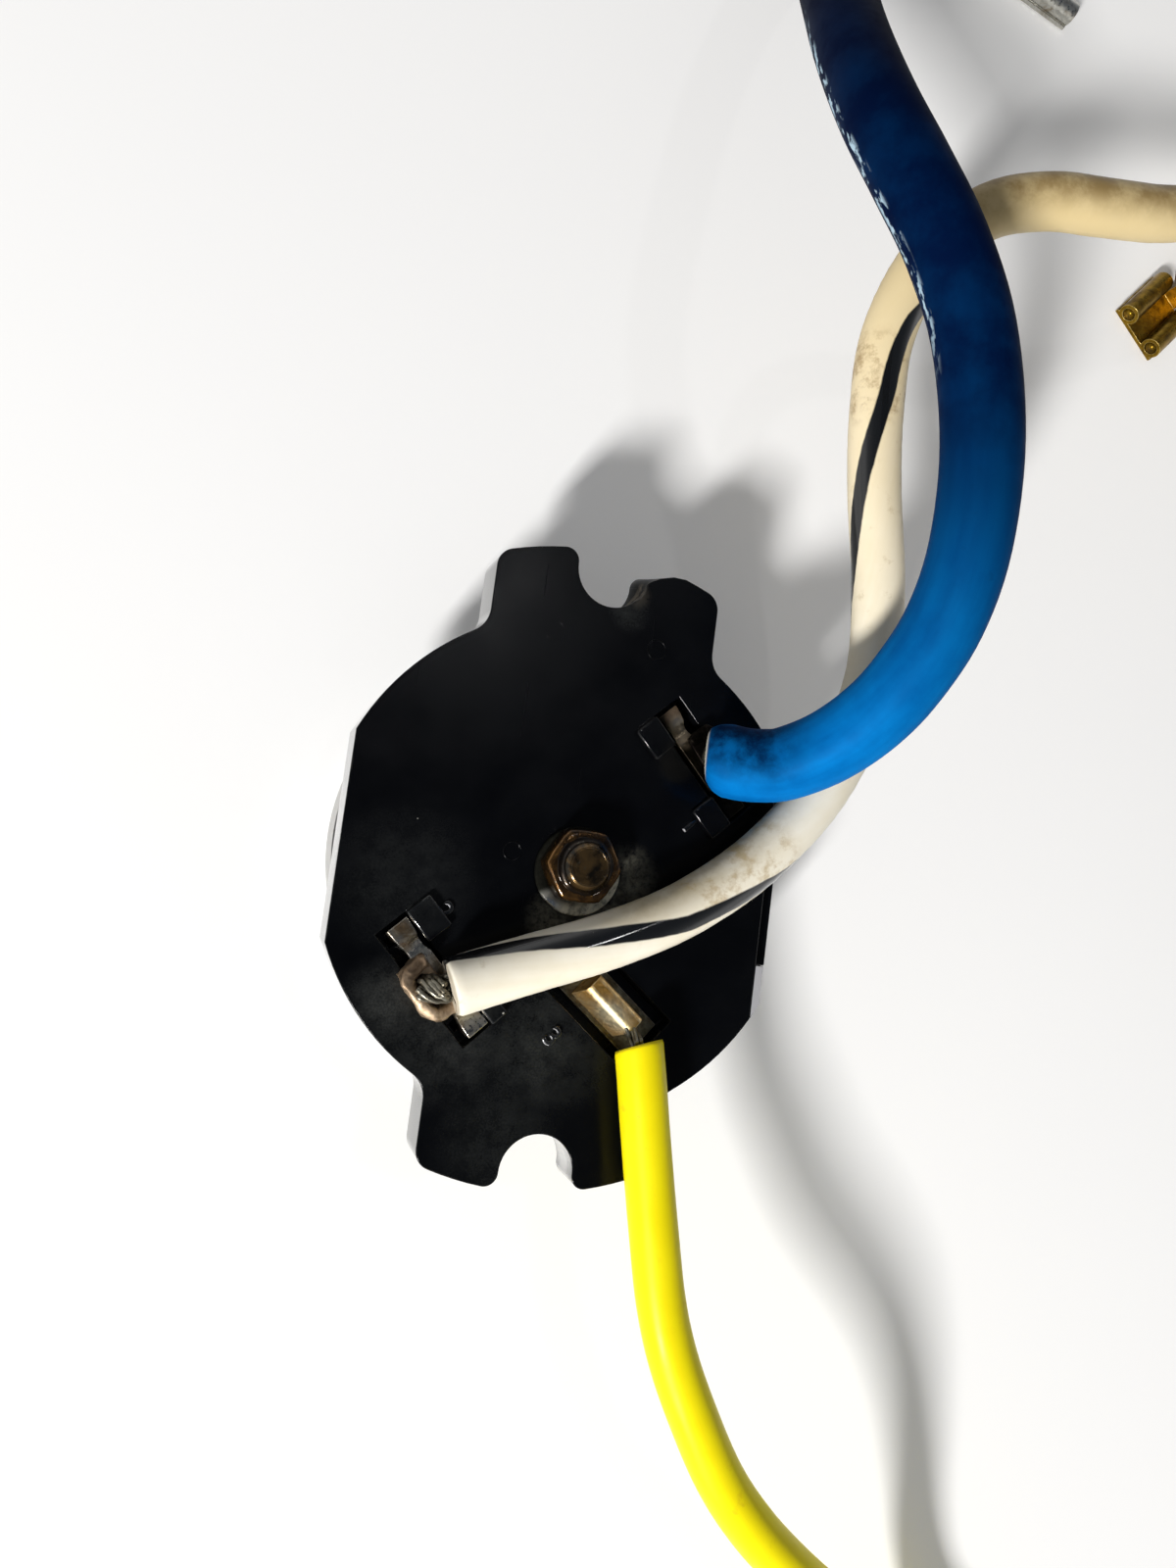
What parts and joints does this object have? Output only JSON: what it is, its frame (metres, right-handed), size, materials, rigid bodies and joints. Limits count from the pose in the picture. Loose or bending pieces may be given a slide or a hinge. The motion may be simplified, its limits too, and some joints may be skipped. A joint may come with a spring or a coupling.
{
  "type": "thermal motor overload protector",
  "caption": "Round black moulded thermal overload protector with notched mounting ears, a sealed snap-disc switch inside, a calibrating screw and coloured leads welded to its terminals.",
  "frame": {"origin": "on the case axis at the outer face of the front cover, the lowest plane of the part as it lies", "axes": "+Z out of the terminal face, +Y towards the upper mounting ear, +X towards the stepped flat"},
  "size_m": [0.1121, 0.2188, 0.039],
  "materials": {
    "phenolic": "glossy black moulding",
    "cover_steel": "drawn steel, zinc plated",
    "liner_paper": "grey insulating paper",
    "tin": "tinned strip, dull",
    "copper": "browned copper",
    "brass": "bare brass",
    "dark_brass": "lacquered brass",
    "silver": "contact silver",
    "bimetal": "rolled bimetal",
    "resistance_alloy": "oxidised ribbon",
    "ceramic": "unglazed ceramic",
    "dull_steel": "dull plated steel",
    "tinned_strands": "stranded tinned copper",
    "blue_insulation": "satin extruded insulation",
    "white_insulation": "satin extruded insulation with a dark tracer",
    "yellow_insulation": "satin extruded insulation"
  },
  "bodies": {
    "case": {"case_moulding": "phenolic", "front_cover": "cover_steel", "cover_liner": "liner_paper", "terminal_strip_1": "tin", "terminal_strip_2": "tin", "terminal_strip_3": "brass", "weld_nest_1": "copper", "weld_nest_2": "copper", "crimp_barrel_3": "brass", "contact_plate_1": "brass", "contact_plate_2": "brass", "heater_strap": "brass", "fixed_contact_1": "silver", "fixed_contact_2": "silver", "heater_ribbon": "resistance_alloy", "calibrating_screw": "dark_brass", "insulating_bush": "ceramic", "flat_washer": "dull_steel", "lock_nut": "dark_brass", "blue_conductor": "tinned_strands", "white_conductor": "tinned_strands", "yellow_conductor": "tinned_strands", "blue_lead": "blue_insulation", "white_lead": "white_insulation", "yellow_lead": "yellow_insulation", "blue_lead_terminal": "tin", "white_lead_terminal": "brass", "yellow_lead_terminal": "brass"},
    "disc": {"snap_disc": "bimetal", "moving_contacts": "silver"}
  },
  "joints": [
    {"name": "disc_snap", "type": "slide", "parent": "case", "child": "disc", "axis": [0, 0, -1], "range_m": [0, 0.001], "stiffness_N_per_m": 200, "springref_m": -0.0003}
  ]
}
